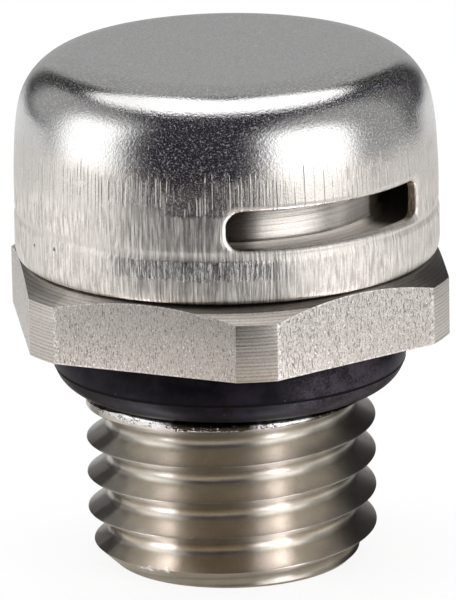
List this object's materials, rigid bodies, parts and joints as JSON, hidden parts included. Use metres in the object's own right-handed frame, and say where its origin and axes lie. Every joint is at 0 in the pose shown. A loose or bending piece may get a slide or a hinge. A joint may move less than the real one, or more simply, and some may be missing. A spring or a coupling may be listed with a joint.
{
  "type": "vent plug",
  "caption": "Stainless screw-in vent plug with a hexagon, a slotted drawn cap, an O-ring and a membrane clamped inside, which lets air pass and keeps water out.",
  "frame": {"origin": "centre of the shank's end face, on the axis, on the surface that the plug stands on", "axes": "+Z along the axis from the shank's end to the cap, -Y towards a corner of the hexagon, X across two flats"},
  "size_m": [0.0172, 0.0188, 0.0213],
  "materials": {
    "turned_steel": "turned and milled bar steel, fine tool lines",
    "drawn_steel": "satin drawn sheet with upright draw marks",
    "ring_rubber": "semi-matt moulded rubber",
    "seal_rubber": "matt rubber sheet",
    "membrane_film": "matt white stretched film",
    "ring_steel": "turned steel"
  },
  "bodies": {
    "root": {"body": "turned_steel", "cap": "drawn_steel", "o_ring": "ring_rubber", "membrane_seal": "seal_rubber", "membrane": "membrane_film", "retaining_ring": "ring_steel"}
  },
  "joints": []
}
